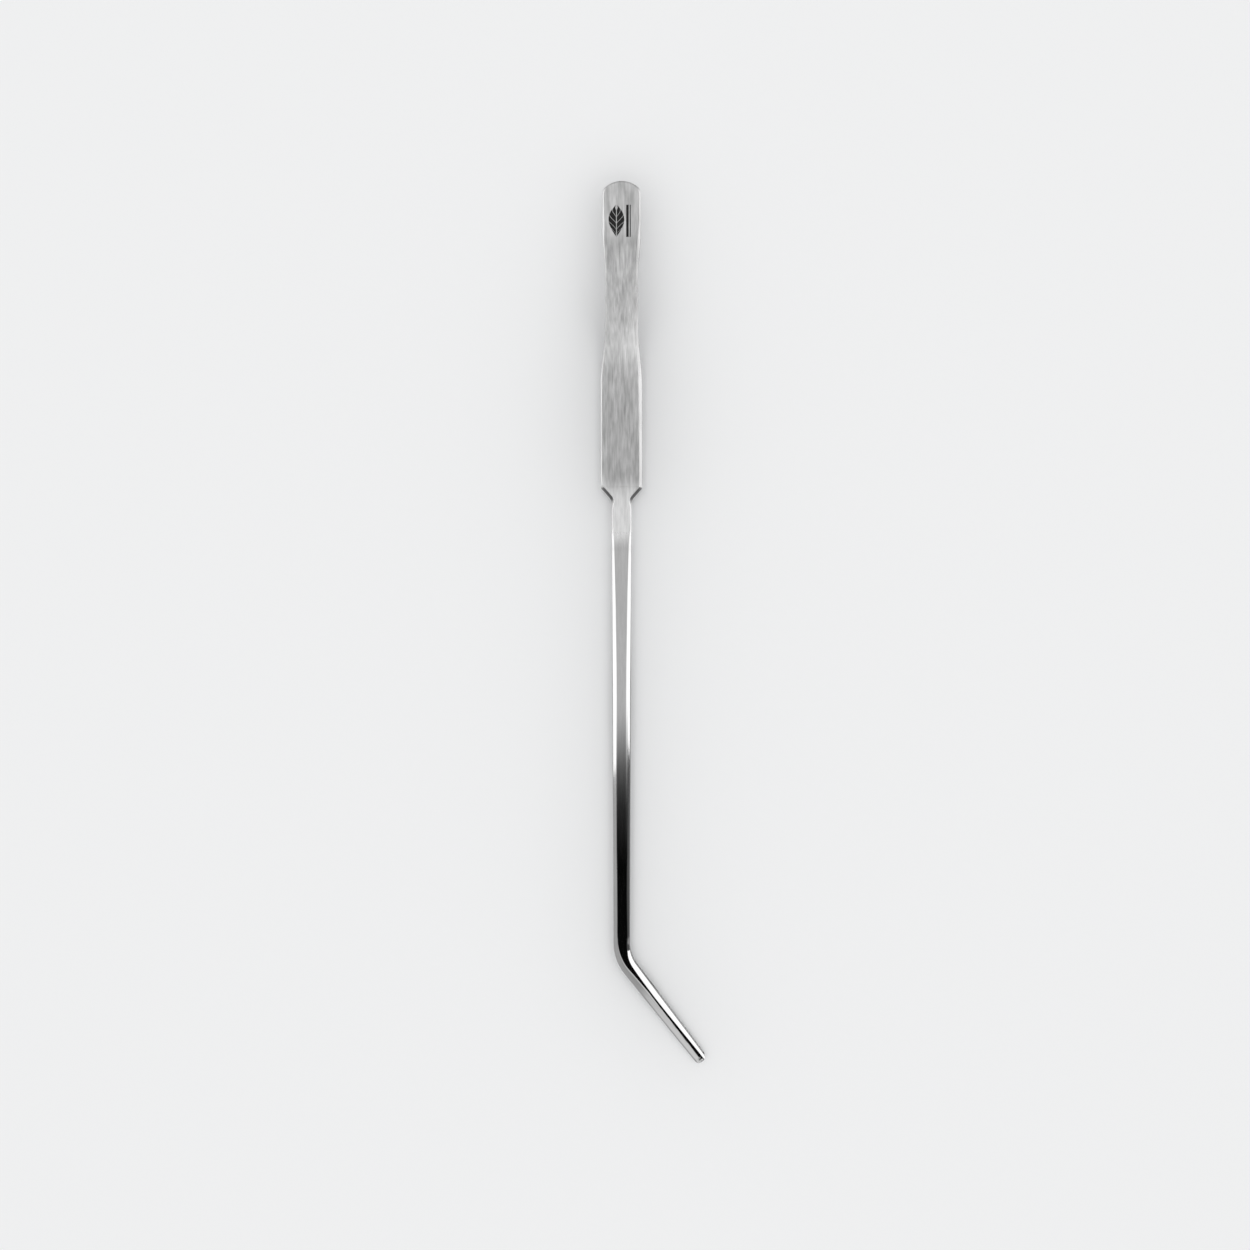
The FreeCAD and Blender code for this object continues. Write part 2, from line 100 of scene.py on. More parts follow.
# The sideways bend of the middle line.
BEND_ANGLE = np.radians(37.9)
BEND_RADIUS = 12.5
BEND_CORNER = 231.0
TIP_REACH = 39.0
TIP_NECK_REACH = 10.0
BEND_START = BEND_CORNER - BEND_RADIUS * np.tan(BEND_ANGLE / 2)
BEND_END = BEND_START + BEND_RADIUS * BEND_ANGLE
ARM_LENGTH = BEND_END + TIP_REACH - BEND_RADIUS * np.tan(BEND_ANGLE / 2)

# Side view: thickness of the strip, and its height above the mid-plane. TIP_U is how far
# the tip's end is from the heel end, measured straight. An arm closes by turning through
# CLOSING, so its jaw slopes by as much. Both profiles run a little past the tool's ends.
LEAF = 1.2
STEM = 2.0
TIP = 1.1
RISE = 8.5
OUTER_RISE = RISE + LEAF
HEEL_BOW = 24.65
GRIP_BOW = 52.45
BOW_RADIUS = 44.5
ROOT_START = 88.0
ROOT_END = 99.0
ROOT_BLEND = 25.0
JAW_BLEND = 60.0
TIP_U = BEND_CORNER + TIP_REACH * np.cos(BEND_ANGLE)
CLOSING = np.radians(2.2004)
JAW_START = TIP_U - (STEM - TIP) / np.tan(CLOSING)
PROFILE_MARGIN = 5.0
PROFILE_ARC_STEP = 0.01

# The bevels ground along the outer face: a flat, with its share of the bevel's width, and
# an arc that turns down into the side. The rows are (place, right, left).
BEVEL_WIDTH = [
    (0, 0.5, 0.5), (12, 0.5, 0.5), (17, 0.95, 0.5), (22, 1.0, 0.45), (27, 0.7, 0.5),
    (45, 0.7, 0.5), (60, 1.25, 0.4), (75, 1.15, 0.35), (90, 1.0, 0.4), (92, 1.1, 1.1),
    (95, 1.1, 1.1), (97.5, 0.35, 0.35), (103, 0.35, 0.35), (108, 0.95, 0.8),
    (125, 1.6, 1.25), (145, 1.9, 1.5), (165, 1.95, 1.6)]
BEVEL_DEGREES = [
    (88, 31, 31), (94, 38, 38), (106, 25, 25), (BEND_START, 25, 25), (245, 20, 12),
    (ARM_LENGTH, 20, 10)]
BEVEL_SOFTNESS = [
    (90, 0.2, 0.2), (100, 0.45, 0.45), (125, 0.8, 0.45), (BEND_START - 2, 0.8, 0.45),
    (240, 0.2, 0.2), (ARM_LENGTH, 0.12, 0.06)]
FLAT_SHARE = 0.84
FLAT_STEPS = [0, 0.03, 0.06, 0.09, 0.12, 0.16, 0.2, 0.26, 0.32, 0.38, 0.45, 0.52, 0.6, 0.68,
              0.76]
SUM_STEPS = 176
ARC_POINTS = 7

# The ridge of the bent tip, in rows of (place, value): how far it stands to the right of
# the middle line, the half width of the flat that is left on it, and how much of the way
# the bevels reach to it. Near the end of the tip the ridge runs on like a roof's.
RIDGE_SHIFT = [(BEND_START, 0.0), (240, 0.22), (250, 0.34), (ARM_LENGTH, 0.85)]
RIDGE_FLAT = [(BEND_START - 2, 0.95), (237, 0.35), (246, 0.08), (ARM_LENGTH, 0.04)]
RIDGE_GROWTH = [(BEND_START - 14, 0.0), (BEND_START - 2, 1.0)]
ROOF_END = 3.0
END_BEVEL = 0.15
END_NEARNESS = [(ARM_LENGTH - 5, 0.0), (ARM_LENGTH - ROOF_END, 1.0)]
END_FACING_POWER = 4

# The inner edges: the radius left by deburring, and the points of that arc. The shares
# place a section's points between its middle and its side.
BURR = 0.12
BURR_POINTS = 4
INNER_SHARES = (0, 0.25, 0.5, 0.75, 0.95)
CROWN_SHARES = (0.75, 0.5, 0.25, 0)

# Painted shade darkens the bevels on the shoulders between grip and stem, and on the rim
# along the stem. The rows are (place, right, left). A bevel share is 0 at the crown, a half
# where the flat meets the arc, and 1 at the side. The last two say where each one starts.
SHOULDER_SHADE = [
    (GRIP_END - 0.3, 0, 0), (GRIP_END + 0.4, 1, 1), (STEM_START - 0.2, 1, 1),
    (STEM_START + 1.2, 0.2, 0.4), (103, 0.2, 0.4), (112, 0, 0)]
RIM_SHADE = [(125, 0, 0), (150, 0.75, 0.5), (175, 0.75, 0.5), (190, 0.7, 0), (262, 0.7, 0)]
BEVEL_FROM = 0.1
RIM_FROM = 0.55

# Grooves across the jaws. The loops of a groove are at shares of its half width.
TOOTH_PITCH = 1.0
TOOTH_WIDTH = 0.7
TOOTH_DEPTH = 0.25
TOOTH_COUNT = 22
TOOTH_END_MARGIN = 1.4
TOOTH_LOOPS = np.array([-1.12, -1, -0.88, -0.5, -0.06, 0.06, 0.5, 0.88, 1, 1.12])

# Loops across the sideways bend, and how close two loops may stand.
BEND_MARGIN = 1.5
BEND_STEP = 0.25
CLOSEST_LOOPS = 1e-4
END_CLEARANCE = 1e-3

# Points nearer than a merge distance become one, and an edge no longer than a sliver goes.
# An edge that turns by the last value or more is shaded as a corner.
ARM_MERGE = 0.002
MARK_MERGE = 0.001
SLIVER = 0.001
SHARP_ANGLE = np.radians(24)

# The etched mark: the Y of its lower end, its length, its rules as (place across, width),
# and how deep it sits in the heel's face and stands out of it.
MARK_Y = 60.3
MARK_LENGTH = 9.6
MARK_RULES = ((1.35, 0.75), (2.4, 0.3))
MARK_DEPTH = 0.02
MARK_RAISE = 0.008
RULE_POINTS = 12

# The mark's leaf. Gap, slant and ends are shares of its length, and belly and fullness
# are the powers that shape its edge.
LEAF_X = -1.55
LEAF_WIDTH = 2.35
LEAF_MIDRIB = 0.1
LEAF_BANDS = 5
LEAF_GAP = 0.016
LEAF_SLANT = 0.16
LEAF_SWEEP = 1.5
LEAF_ENDS = (0.004, 0.996)
LEAF_BELLY = 1.15
LEAF_FULLNESS = 0.85
BAND_POINTS = (9, 7)
THINNEST_BAND = 0.01

HEEL_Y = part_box("front_heel")[1].y / MM
MID_Z = (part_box("front_arm")[1].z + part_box("rear_arm")[0].z) / 2 / MM


# ---------------------------------------------------------------- profiles

def rounded_line(corners, step=1.0, arc_step=0.06, flattest=1e-5):
    """A line through corners (along, across, radius), each rounded by an arc.

    At a corner the arc's centre lies on the bisector, at radius / sin(half opening),
    and its ends lie radius / tan(half opening) back along the two straight runs.
    """
    points = [np.array(corner[:2], float) for corner in corners]
    pieces = [points[0][None]]
    for before, here, after, corner in zip(points, points[1:], points[2:], corners[1:]):
        radius = corner[2]
        back = (before - here) / np.linalg.norm(before - here)
        ahead = (after - here) / np.linalg.norm(after - here)
        half = np.arccos(np.clip(back @ ahead, -1, 1)) / 2
        if radius == 0 or half > np.pi / 2 - flattest:
            pieces.append(here[None])
            continue
        bisector = (back + ahead) / np.linalg.norm(back + ahead)
        centre = here + bisector * radius / np.sin(half)
        first = here + back * radius / np.tan(half) - centre
        last = here + ahead * radius / np.tan(half) - centre
        turn = np.arctan2(first[0] * last[1] - first[1] * last[0], first @ last)
        count = max(4, int(np.ceil(abs(turn) / arc_step)))
        angle = np.linspace(0, turn, count + 1)[:, None]
        side = np.array([-first[1], first[0]])
        pieces.append(centre + first * np.cos(angle) + side * np.sin(angle))
    pieces.append(points[-1][None])
    line = np.concatenate(pieces)
    lengths = np.linalg.norm(np.diff(line, axis=0), axis=1)
    parts = np.maximum(1, np.ceil(lengths / step)).astype(int)
    spread = [a + (b - a) * np.linspace(0, 1, n, endpoint=False)[:, None]
              for a, b, n in zip(line[:-1], line[1:], parts)]
    return np.concatenate(spread + [line[-1:]])


def heel_arch():
    """Half of the blunt heel end: a wide arc across the end, then a corner arc.

    The two arcs touch where the line through their centres meets them.
    """
    radius, corner = HEEL_END_RADIUS, HEEL_CORNER_RADIUS
    inset = HEEL_HALF_WIDTH - corner
    depth = radius - np.sqrt((radius - corner) ** 2 - inset ** 2)
    reach = np.arctan2(inset, radius - depth)
    wide = np.linspace(0, reach, HEEL_END_PARTS)
    tight = np.linspace(reach, np.pi / 2, HEEL_CORNER_PARTS)[1:]
    along = np.concatenate([radius * (1 - np.cos(wide)), depth - corner * np.cos(tight)])
    across = np.concatenate([radius * np.sin(wide), inset + corner * np.sin(tight)])
    return np.stack([along, across], 1)


def half_outline():
    """The boundary of one half of the arm: distance along the middle line, and half width."""
    arch = heel_arch()
    sides = rounded_line([
        (arch[-1, 0], HEEL_HALF_WIDTH, 0),
        (HEEL_TAPER, HEEL_HALF_WIDTH, SIDE_BLEND),
        (WAIST_START, WAIST_HALF_WIDTH, SIDE_BLEND),
        (WAIST_END, WAIST_HALF_WIDTH, SIDE_BLEND),
        (GRIP_START, GRIP_HALF_WIDTH, SIDE_BLEND),
        (GRIP_END, GRIP_HALF_WIDTH, GRIP_CORNER_RADIUS),
        (STEM_START, STEM_HALF_WIDTH, STEM_CORNER_RADIUS),
        (BEND_START, BEND_HALF_WIDTH, BEND_BLEND),
        (ARM_LENGTH - TIP_NECK_REACH, NECK_HALF_WIDTH, NECK_BLEND),
        (ARM_LENGTH, TIP_HALF_WIDTH, TIP_CORNER_RADIUS),
        (ARM_LENGTH, 0, 0),
    ])
    return np.concatenate([arch[:-1], sides])


def outer_face():
    """Height of the outer face above the mid-plane, along the tool's straight axis."""
    shift = LEAF * np.tan(np.arctan(RISE / (GRIP_BOW - HEEL_BOW)) / 2)
    return rounded_line([
        (-PROFILE_MARGIN, LEAF, 0),
        (HEEL_BOW - shift, LEAF, BOW_RADIUS - LEAF),
        (GRIP_BOW - shift, OUTER_RISE, BOW_RADIUS + LEAF),
        (TIP_U + PROFILE_MARGIN, OUTER_RISE, 0),
    ], arc_step=PROFILE_ARC_STEP)


def inner_face():
    """Height of the inner face: bows, thick stem, and the jaw's sloping flat."""
    past = TIP_U + PROFILE_MARGIN
    return rounded_line([
        (-PROFILE_MARGIN, 0, 0),
        (HEEL_BOW, 0, BOW_RADIUS),
        (GRIP_BOW, RISE, BOW_RADIUS),
        (ROOT_START, RISE, ROOT_BLEND),
        (ROOT_END, OUTER_RISE - STEM, ROOT_BLEND),
        (JAW_START, OUTER_RISE - STEM, JAW_BLEND),
        (past, OUTER_RISE - TIP + (past - TIP_U) * np.tan(CLOSING), 0),
    ], arc_step=PROFILE_ARC_STEP)


def groove(along, offset):
    """Depth of the jaw's V-grooves, evenly spaced back from the end of the tip.

    The depth falls straight from the middle of the nearest groove to its two edges.
    """
    place = (ARM_LENGTH - TOOTH_END_MARGIN - offset - along) / TOOTH_PITCH
    nearest = np.clip(np.round(place), 0, TOOTH_COUNT - 1)
    away = np.abs(place - nearest) * TOOTH_PITCH
    return TOOTH_DEPTH * np.clip(1 - away / (TOOTH_WIDTH / 2), 0, 1)


def stations(offset):
    """The points of the half outline where the arm's loops stand, and the way inward there.

    They are the outline's own points, with more across the bend and at the grooves. The
    way inward is the outline's slope turned by a right angle.
    """
    outline = half_outline()
    base = np.concatenate([[0], np.cumsum(np.linalg.norm(np.diff(outline, axis=0), axis=1))])
    middle = ARM_LENGTH - TOOTH_END_MARGIN - offset - TOOTH_PITCH * np.arange(TOOTH_COUNT)
    teeth = (middle[:, None] + TOOTH_WIDTH / 2 * TOOTH_LOOPS).ravel()
    teeth = teeth[teeth < ARM_LENGTH - END_CLEARANCE]
    bend = np.arange(BEND_START - BEND_MARGIN, BEND_END + BEND_MARGIN, BEND_STEP)
    added = np.interp(np.append(teeth, bend), outline[:, 0], base)
    run = np.unique(np.concatenate([base, added]))
    run = run[np.concatenate([[True], np.diff(run) > CLOSEST_LOOPS])]
    along = np.interp(run, base, outline[:, 0])
    across = np.interp(run, base, outline[:, 1])
    slope = np.stack([np.gradient(along, run), np.gradient(across, run)], 1)
    slope[0], slope[-1] = (0, 1), (0, -1)
    slope /= np.linalg.norm(slope, axis=1)[:, None]
    inward = np.stack([slope[:, 1], -slope[:, 0]], 1)
    return along, across, inward


def plan_place(along, across):
    """X and Y of a place on the bent strip: straight, then an arc, then straight again.

    On the arc the strip has turned by the distance past its start over its radius.
    """
    turn = np.clip((along - BEND_START) / BEND_RADIUS, 0, BEND_ANGLE)
    past = np.maximum(along - BEND_END, 0)
    before = np.minimum(along, BEND_START)
    x = BEND_RADIUS * (1 - np.cos(turn)) + past * np.sin(BEND_ANGLE) + across * np.cos(turn)
    y = HEEL_Y - before - BEND_RADIUS * np.sin(turn) - past * np.cos(BEND_ANGLE)
    return x, y + across * np.sin(turn)


def by_place(along, rows, hand=1):
    """A value given at some places along the arm, and blended straight between them.

    The rows are (place, value), or (place, right, left), of which the hand picks one:
    column 1 is the right, and column -1, the last, is the left.
    """
    table = np.array(rows)
    return np.interp(along, table[:, 0], table[:, hand])


def ridge_line(along, half):
    """How far the crest of the outer face stands to the right of the middle line.

    Where half the width is under a millimetre the shift shrinks with it.
    """
    return by_place(along, RIDGE_SHIFT) * np.clip(half, 0, 1)


def bevel_width(along, half, hand, facing):
    """How far in from a side the bevel reaches: its own width, and to the ridge at the tip.

    Facing is how much of the outline's normal points across the arm and not along it, so
    the blunt end of the tip keeps a narrow bevel.
    """
    to_ridge = half - hand * ridge_line(along, half) - by_place(along, RIDGE_FLAT)
    own = by_place(along, BEVEL_WIDTH, hand)
    width = own + (to_ridge - own) * by_place(along, RIDGE_GROWTH)
    width = np.maximum(width, END_BEVEL)
    kept = 1 + (facing ** END_FACING_POWER - 1) * by_place(along, END_NEARNESS)
    return END_BEVEL + (width - END_BEVEL) * kept


def flat_drop(along, hand, tilt):
    """Depth of the bevel's flat below the crown at its steps, as a share of its width.

    The slope rises from nothing to tan(tilt) over the soft part next to the crown, and the
    depth is its running sum.
    """
    soft = by_place(along, BEVEL_SOFTNESS, hand)[:, None]
    part = np.clip(np.linspace(0, FLAT_SHARE, SUM_STEPS + 1)[None] / soft, 0, 1)
    slope = np.tan(tilt[:, None] * part * part * (3 - 2 * part))
    step = FLAT_SHARE / SUM_STEPS
    sums = np.cumsum((slope[:, 1:] + slope[:, :-1]) / 2 * step, 1)
    depth = np.concatenate([np.zeros((len(along), 1)), sums], 1)
    shares = np.append(FLAT_STEPS, FLAT_SHARE)
    return depth[:, np.round(shares / step).astype(int)]


# ---------------------------------------------------------------- meshes

Half = namedtuple("Half", "place side height bevel upper")


def closed_piece(name, mesh, merge, sharp_angle=0.0):
    """A piece from a mesh, once its doubles are merged and its faces point outwards.

    It is shaded smooth across every edge that turns by less than the sharp angle.
    """
    edit = bmesh.new()
    edit.from_mesh(mesh)
    bmesh.ops.remove_doubles(edit, verts=edit.verts, dist=merge * MM)
    bmesh.ops.dissolve_degenerate(edit, edges=edit.edges, dist=SLIVER * MM)
    bmesh.ops.recalc_face_normals(edit, faces=edit.faces)
    if sharp_angle:
        for face in edit.faces:
            face.smooth = True
        for edge in edit.edges:
            edge.smooth = bool(not edge.is_manifold or edge.calc_face_angle(0) < sharp_angle)
    edit.to_mesh(mesh)
    edit.free()
    piece = bpy.data.objects.new(name, mesh)
    bpy.context.scene.collection.objects.link(piece)
    return piece


def solid_from_grid(name, points, attributes):
    """A closed solid from loops of points, the second index running round each loop.

    The first and last loops are folded flat, so merging their doubles closes the ends.
    """
    rows, around = points.shape[:2]
    index = np.arange(rows * around).reshape(rows, around)
    a, b = index[:-1], index[1:]
    faces = np.stack([a, b, np.roll(b, -1, 1), np.roll(a, -1, 1)], -1).reshape(-1, 4)
    mesh = bpy.data.meshes.new(name)
    mesh.from_pydata((points.reshape(-1, 3) * MM).tolist(), [], faces.tolist())
    for key, values in attributes.items():
        if values.ndim == 3:
            layer = mesh.attributes.new(key, "FLOAT_VECTOR", "POINT")
            layer.data.foreach_set("vector", (values * MM).astype(np.float32).ravel())
        else:
            layer = mesh.attributes.new(key, "FLOAT", "POINT")
            layer.data.foreach_set("value", values.astype(np.float32).ravel())
    return closed_piece(name, mesh, ARM_MERGE, SHARP_ANGLE)


def section_half(along, across, inward, hand, tooth_offset):
    """One half of every section, from the inner middle round the side to the crest.

    A point stands on the outline, moved in along the outline's normal, and between the
    crest line and that by its share. On the outer face it lies below the profile by its
    drop, and on the inner face above it.
    """
    width = bevel_width(along, across, hand, np.abs(inward[:, 1]))
    tilt = np.radians(by_place(along, BEVEL_DEGREES, hand))
    crest = ridge_line(along, across)
    places, sides, drops, bevels, uppers = [], [], [], [], []

    def add(share, move_in, drop=0.0, bevel=0.0, upper=True):
        side = hand * np.maximum(across + inward[:, 1] * move_in, 0)
        places.append(along + inward[:, 0] * move_in)
        sides.append(crest + (side - crest) * share)
        drops.append(np.broadcast_to(drop, along.shape))
        bevels.append(bevel)
        uppers.append(upper)

    for share in INNER_SHARES:
        add(share, BURR, upper=False)
    for angle in np.linspace(np.pi / 2, 0, BURR_POINTS):
        add(1, BURR * (1 - np.cos(angle)), drop=BURR * (1 - np.sin(angle)), upper=False)
    drop = flat_drop(along, hand, tilt) * width[:, None]
    radius = width * (1 - FLAT_SHARE) / (1 - np.sin(tilt))
    for part in np.linspace(0, 1, ARC_POINTS):
        turn = np.pi / 2 + (tilt - np.pi / 2) * part
        add(1, radius * (1 - np.sin(turn)),
            drop=drop[:, -1] + radius * (np.cos(tilt) - np.cos(turn)), bevel=1 - part / 2)
    for step, share in reversed(list(enumerate(FLAT_STEPS))):
        add(1, width * (1 - share), drop=drop[:, step], bevel=share / 2)
    for share in CROWN_SHARES:
        add(share, width)

    place, side, drop = (np.stack(columns, 1) for columns in (places, sides, drops))
    upper = np.array(uppers)
    from_heel = HEEL_Y - plan_place(place, side)[1]
    outer = np.interp(from_heel, *outer_face().T) - drop
    inner = np.interp(from_heel, *inner_face().T) + drop + groove(place, tooth_offset)
    return Half(place, side, np.where(upper, outer, inner), np.array(bevels), upper)


def carry_roof(along, right, left):
    """Carries the section that the tip has near its end on to the end, as a roof does.

    From there on, a point of the outer face stands no higher than that section does at
    the same distance across.
    """
    row = np.searchsorted(along, ARM_LENGTH - ROOF_END)
    upper = right.upper
    across = np.concatenate([left.side[row, upper], right.side[row, upper][::-1]])
    roof = np.concatenate([left.height[row, upper], right.height[row, upper][::-1]])
    for half in (right, left):
        below = np.interp(half.side[row:, upper], across, roof)
        half.height[row:, upper] = np.minimum(half.height[row:, upper], below)


def spring_arm(name, side, tooth_offset):
    """One arm from heel to tip, as a grid: along the arm, and round its section.

    It carries its own coordinates (across, along, height) for the grain of the steel, how
    worn its edges are, with a painted highlight on them, which is the sine of the bevel
    share's half turn, and painted shade on its shoulders and rim.
    """
    along, across, inward = stations(tooth_offset)
    halves = {hand: section_half(along, across, inward, hand, tooth_offset) for hand in (1, -1)}
    carry_roof(along, halves[1], halves[-1])
    points, coordinates, edges, shade_marks = [], [], [], []
    for hand, half in halves.items():
        x, y = plan_place(half.place, half.side)
        # How worn the edges are, which also carries a painted highlight on the bevels.
        wear_and_highlight = np.broadcast_to(np.sin(half.bevel * np.pi), x.shape)
        # Painted shade on the shoulders and on the rim along the stem.
        painted_shade = by_place(along, SHOULDER_SHADE, hand)[:, None] * (half.bevel > BEVEL_FROM)
        rim = by_place(along, RIM_SHADE, hand)[:, None] * (half.bevel > RIM_FROM)
        order = slice(None) if hand == 1 else slice(-2, 0, -1)
        points.append(np.stack([x, y, MID_Z + side * half.height], -1)[:, order])
        coordinates.append(np.stack([half.side, half.place, half.height], -1)[:, order])
        edges.append(wear_and_highlight[:, order])
        shade_marks.append(np.maximum(painted_shade, rim)[:, order])
    return solid_from_grid(name, np.concatenate(points, 1), {
        "grain": np.concatenate(coordinates, 1),
        "edge_wear_and_highlight": np.concatenate(edges, 1),
        "painted_shade": np.concatenate(shade_marks, 1),
    })


def slab(corners, low, high):
    """A thin closed plate: a grid of plan places, repeated at two heights and walled round."""
    rows, columns = corners.shape[:2]
    count = rows * columns
    top = np.concatenate([corners.reshape(-1, 2), np.full((count, 1), high)], 1)
    bottom = np.concatenate([corners.reshape(-1, 2), np.full((count, 1), low)], 1)
    index = np.arange(count).reshape(rows, columns)
    quads = np.stack([index[:-1, :-1], index[1:, :-1], index[1:, 1:], index[:-1, 1:]], -1)
    quads = quads.reshape(-1, 4)
    border = np.concatenate([index[0, :-1], index[:-1, -1], index[-1, :0:-1], index[:0:-1, 0]])
    after = np.roll(border, -1)
    walls = np.stack([border, after, after + count, border + count], -1)
    return np.concatenate([top, bottom]), np.concatenate([quads, quads[:, ::-1] + count, walls])


def leaf_band(hand, band):
    """One slanted band of the mark's leaf, between the midrib and the leaf's edge.

    The edge's half width is a sine of the distance along the leaf, both of them raised to
    a power. The further out a point of the band is, the further along the leaf it lies.
    """
    first = band / LEAF_BANDS - LEAF_SLANT + LEAF_GAP / 2
    last = first + 1 / LEAF_BANDS - LEAF_GAP
    lengthways, outwards = BAND_POINTS
    start = np.linspace(first, last, lengthways)[:, None]
    out = np.linspace(0, 1, outwards)[None]
    along = np.clip(start + LEAF_SLANT * out * LEAF_SWEEP, *LEAF_ENDS)
    edge = LEAF_WIDTH * np.sin(np.pi * along ** LEAF_BELLY) ** LEAF_FULLNESS
    edge = np.maximum(edge, LEAF_MIDRIB + THINNEST_BAND)
    x = LEAF_X + hand * (LEAF_MIDRIB + (edge - LEAF_MIDRIB) * out)
    return np.stack([x, MARK_Y + MARK_LENGTH * along], -1)[::hand]


def mark_rule(place, width):
    """One straight rule beside the leaf, as long as the mark."""
    x, y = np.meshgrid([place, place + width],
                       MARK_Y + MARK_LENGTH * np.linspace(0, 1, RULE_POINTS))
    return np.stack([x, y], -1)[::-1]


def etched_mark():
    """The mark as one piece in the front heel's outer face: a banded leaf and two rules."""
    plates = [leaf_band(hand, band) for hand in (1, -1) for band in range(LEAF_BANDS)]
    plates += [mark_rule(place, width) for place, width in MARK_RULES]
    vertices, faces, count = [], [], 0
    for corners in plates:
        points, quads = slab(corners, MID_Z + LEAF - MARK_DEPTH, MID_Z + LEAF + MARK_RAISE)
        vertices.append(points)
        faces.append(quads + count)
        count += len(points)
    mesh = bpy.data.meshes.new("etched_mark")
    mesh.from_pydata((np.concatenate(vertices) * MM).tolist(), [], np.concatenate(faces).tolist())
    return closed_piece("etched_mark", mesh, MARK_MERGE)


# ---------------------------------------------------------------- materials

class Recipe:
    """A material under construction, with short calls for the nodes it needs."""

    def __init__(self, name):
        self.material = bpy.data.materials.new(name)
        self.material.use_nodes = True
        self.nodes = self.material.node_tree.nodes
        self.links = self.material.node_tree.links
        self.shader = self.nodes["Principled BSDF"]

    def node(self, kind, values=None, **settings):
        """A node with its settings, and its inputs set to values or linked to sockets."""
        made = self.nodes.new(kind)
        for key, value in settings.items():
            setattr(made, key, value)
        for key, value in (values or {}).items():
            if isinstance(value, bpy.types.NodeSocket):
                self.links.new(value, made.inputs[key])
            else:
                made.inputs[key].default_value = value
        return made

    def link(self, socket, shader_input):
        self.links.new(socket, self.shader.inputs[shader_input])

    def attribute(self, name, output="Fac"):
        return self.node("ShaderNodeAttribute", attribute_name=name).outputs[output]

    def parts(self, vector):
        """X, Y and Z of a vector, in metres."""
        made = self.node("ShaderNodeSeparateXYZ", {"Vector": vector})
        return made.outputs["X"], made.outputs["Y"], made.outputs["Z"]

    def object_place(self):
        return self.node("ShaderNodeTexCoord").outputs["Object"]

    def noise(self, vector, scale, detail, roughness=0.5):
        made = self.node("ShaderNodeTexNoise", {"Vector": vector, "Scale": scale,
                                                "Detail": detail, "Roughness": roughness})
        return made.outputs["Fac"]

    def grain(self, spots, detail, roughness=0.5):
        """Noise on an arm's own coordinates: spots per metre across, along and up."""
        stretched = self.node("ShaderNodeVectorMath",
                              {0: self.attribute("grain", "Vector"), 1: spots},
                              operation="MULTIPLY")
        return self.noise(stretched.outputs["Vector"], 1.0, detail, roughness)

    def ramp(self, value, low, high, to_low=0.0, to_high=1.0, smooth=False):
        """A level that goes from to_low, where the value is low, to to_high."""
        made = self.node("ShaderNodeMapRange",
                         {"Value": value, "From Min": low, "From Max": high,
                          "To Min": to_low, "To Max": to_high},
                         interpolation_type="SMOOTHSTEP" if smooth else "LINEAR")
        return made.outputs["Result"]

    def stretch(self, value, start, end, to_start=0.0, to_end=1.0, smooth=True):
        """A ramp whose two ends are lengths in millimetres."""
        return self.ramp(value, start * MM, end * MM, to_start, to_end, smooth)

    def swing(self, noise, amount):
        """A noise spread to either side of nothing, by up to an amount."""
        return self.ramp(noise, 0.35, 0.65, -amount, amount)

    def between(self, noise, low, high):
        """A noise spread from a low to a high level."""
        return self.ramp(noise, 0.3, 0.7, low, high)

    def curve(self, value, stops):
        """A level blended straight between stops (place in millimetres, level)."""
        low, high = stops[0][0], stops[-1][0]
        share = self.stretch(value, low, high, smooth=False)
        made = self.node("ShaderNodeValToRGB", {"Fac": share})
        elements = made.color_ramp.elements
        while len(elements) < len(stops):
            elements.new(0.5)
        for element, (place, _) in zip(elements, stops):
            element.position = (place - low) / (high - low)
        for element, (_, level) in zip(elements, stops):
            element.color = (level, level, level, 1)
        return made.outputs["Color"]

    def math(self, operation, first, second=0.0):
        return self.node("ShaderNodeMath", {0: first, 1: second}, operation=operation).outputs[0]

    def total(self, first, *others):
        for other in others:
            first = self.math("ADD", first, other)
        return first

    def times(self, first, *others):
        for other in others:
            first = self.math("MULTIPLY", first, other)
        return first

    def blend(self, share, first, second):
        made = self.node("ShaderNodeMix", {"Factor": share, "A": first, "B": second})
        return made.outputs["Result"]

    def grey(self, value):
        made = self.node("ShaderNodeCombineColor", {"Red": value, "Green": value, "Blue": value})
        return made.outputs["Color"]

    def bump(self, height, strength, distance):
        made = self.node("ShaderNodeBump", {"Height": height, "Strength": strength,
                                            "Distance": distance * MM})
        self.link(made.outputs["Normal"], "Normal")


# The steel's noise, in spots per metre across the arm, along it and up.
BELT_LINES = (6500, 110, 900)
BELT_STREAKS = (1500, 230, 500)
CLOUDS = (330, 60, 100)

# Places between which one finish goes over into the next, and between which painted light
# comes and goes. The first is across the arm.
RIGHT_SIDE = (-4.5, 0)
ROOT_COMES = (87, 95)
ROOT_GOES = (105, 110)
EDGE_LIGHT_GOES = (88, 96)
RELIEF_GOES = (96, 102)
POLISH_COMES = (102, 112)

